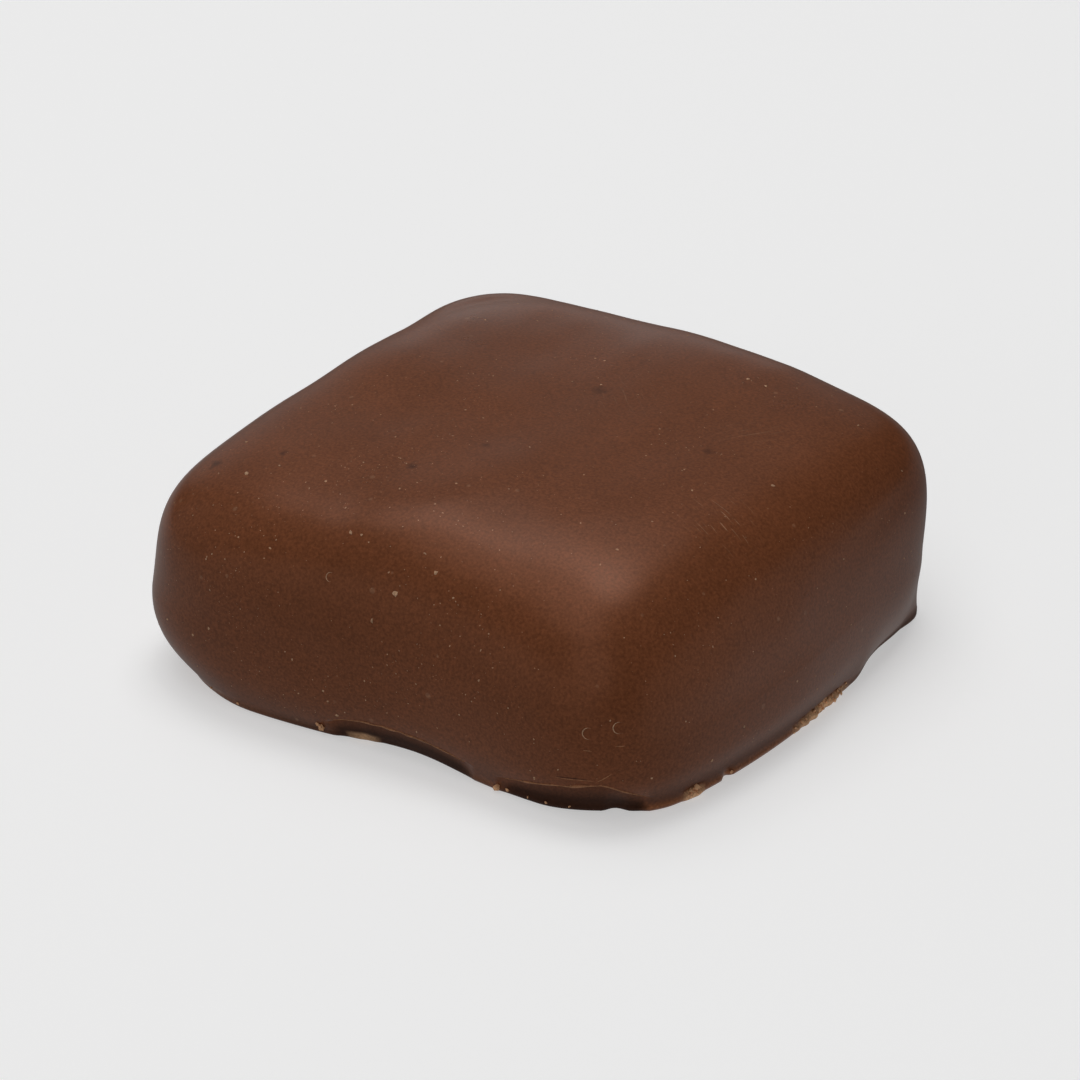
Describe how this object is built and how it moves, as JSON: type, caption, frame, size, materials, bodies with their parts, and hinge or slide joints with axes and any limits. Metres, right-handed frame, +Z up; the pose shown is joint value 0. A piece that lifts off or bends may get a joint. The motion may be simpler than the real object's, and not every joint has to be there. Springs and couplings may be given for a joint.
{
  "type": "chocolate-coated marshmallow",
  "caption": "Soft square marshmallow enrobed in satin milk chocolate, with rounded shoulders, a slightly pinched side and a thin chipped foot round its flat base.",
  "frame": {"origin": "on the surface that it stands on, under the middle of its bounding box", "axes": "+Z up through the top, the flat sides roughly along X and Y, the pinched side facing -Y"},
  "size_m": [0.0428, 0.0436, 0.0167],
  "materials": {
    "milk_chocolate": "satin, slightly mottled, with fine dust specks and pinholes"
  },
  "bodies": {
    "root": {"coated_marshmallow": "milk_chocolate"}
  },
  "joints": []
}
